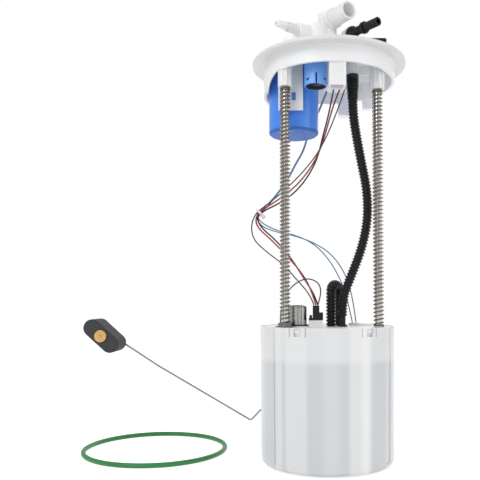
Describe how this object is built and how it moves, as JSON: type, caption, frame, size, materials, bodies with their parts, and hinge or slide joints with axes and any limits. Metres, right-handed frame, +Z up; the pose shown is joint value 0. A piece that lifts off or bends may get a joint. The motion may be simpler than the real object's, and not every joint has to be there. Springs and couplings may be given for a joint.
{
  "type": "in-tank fuel pump module",
  "caption": "In-tank fuel pump module: sprung flange with ports and vent valves on guide rods over a reservoir cup with pump, hose, wiring and float-arm level sender.",
  "frame": {"origin": "centre of the ring of feet under the reservoir, on the plane that the reservoir stands on", "axes": "+Z up along the reservoir's axis, -Y towards the front, where the ports point, +X to the right, with the float arm on the left"},
  "size_m": [0.3155, 0.1882, 0.4165],
  "materials": {
    "white_plastic": "translucent natural acetal, satin",
    "reservoir_plastic": "translucent natural acetal, satin",
    "blue_plastic": "moulded blue acetal",
    "black_plastic": "black nylon",
    "black_hose": "corrugated black nylon",
    "polished_steel": "bright steel",
    "can_steel": "drawn steel can",
    "brass": "brass",
    "float_foam": "closed-cell nitrile",
    "green_rubber": "green fluorocarbon rubber",
    "grey_rubber": "nitrile rubber",
    "wire_black": "insulated wire",
    "wire_red": "insulated wire",
    "wire_grey": "insulated wire",
    "wire_blue": "insulated wire",
    "tie_plastic": "white nylon",
    "blackened_steel": "black-finished steel",
    "mesh": "woven filter mesh",
    "ceramic": "printed ceramic card",
    "magnet": "ferrite",
    "copper_winding": "wound armature",
    "pin_metal": "plated contact"
  },
  "bodies": {
    "reservoir_unit": {"reservoir": "reservoir_plastic", "lid": "reservoir_plastic", "rod_bushings": "black_plastic", "base_strainer": "mesh", "inlet_valve": "grey_rubber", "regulator_can": "can_steel", "regulator_clip": "polished_steel", "ground_terminal": "blackened_steel", "pump_connector": "black_plastic", "supply_fitting": "black_plastic", "loop_hose": "black_hose", "wire_grommet": "grey_rubber", "pump_case": "can_steel", "pump_outlet_cap": "black_plastic", "pump_inlet_cover": "black_plastic", "pump_magnets": "magnet", "pump_cradle": "white_plastic", "pump_cushion": "grey_rubber", "pump_strainer": "mesh", "outlet_tube": "black_hose", "jet_pump": "white_plastic", "sender_housing": "white_plastic", "sender_card": "ceramic", "tank_seal_ring": "green_rubber", "ground_wire": "wire_grey"},
    "flange_unit": {"flange": "white_plastic", "vapour_port": "white_plastic", "vent_nozzle": "white_plastic", "supply_port": "black_plastic", "supply_nipple": "white_plastic", "hose_boot": "black_hose", "supply_hose": "black_hose", "tank_connector": "black_plastic", "tank_connector_pins": "pin_metal", "vent_canister": "blue_plastic", "canister_base": "blue_plastic", "rollover_cup": "blue_plastic", "guide_rod_left": "polished_steel", "guide_rod_right": "polished_steel", "spring_left": "polished_steel", "spring_right": "polished_steel", "rod_stop_clips": "polished_steel", "wire_black": "wire_black", "wire_red": "wire_red", "wire_grey": "wire_grey", "sender_wires": "wire_blue", "cable_tie": "tie_plastic"},
    "vent_float_unit": {"vent_float": "white_plastic"},
    "rollover_float_unit": {"rollover_float": "black_plastic"},
    "pump_rotor": {"rotor_shaft": "polished_steel", "armature": "copper_winding", "impeller": "black_plastic"},
    "float_arm": {"float_arm_wire": "polished_steel", "sender_hub": "black_plastic", "float_retainer": "brass"},
    "float_unit": {"level_float": "float_foam"}
  },
  "joints": [
    {"name": "flange_slide", "type": "slide", "parent": "reservoir_unit", "child": "flange_unit", "axis": [0, 0, 1], "range_m": [-0.06, 0], "stiffness_N_per_m": 160, "springref_m": 0.06, "deforming": ["spring_left", "spring_right", "supply_hose", "wire_black", "wire_red", "wire_grey", "sender_wires", "cable_tie"]},
    {"name": "vent_float_slide", "type": "slide", "parent": "flange_unit", "child": "vent_float_unit", "axis": [0, 0, 1], "range_m": [0, 0.006]},
    {"name": "rollover_float_slide", "type": "slide", "parent": "flange_unit", "child": "rollover_float_unit", "axis": [0, 0, 1], "range_m": [0, 0.004]},
    {"name": "pump_rotor_spin", "type": "hinge", "parent": "reservoir_unit", "child": "pump_rotor", "pos_m": [-0.0015, 0.002, 0.0537], "axis": [0, 0, 1], "continuous": true},
    {"name": "float_arm_swing", "type": "hinge", "parent": "reservoir_unit", "child": "float_arm", "pos_m": [-0.028, 0.077, 0.0737], "axis": [0, 1, 0], "range_deg": [-22, 55]},
    {"name": "float_turn", "type": "hinge", "parent": "float_arm", "child": "float_unit", "pos_m": [-0.2232, 0.0575, 0.1133], "axis": [0, 1, 0], "continuous": true}
  ]
}
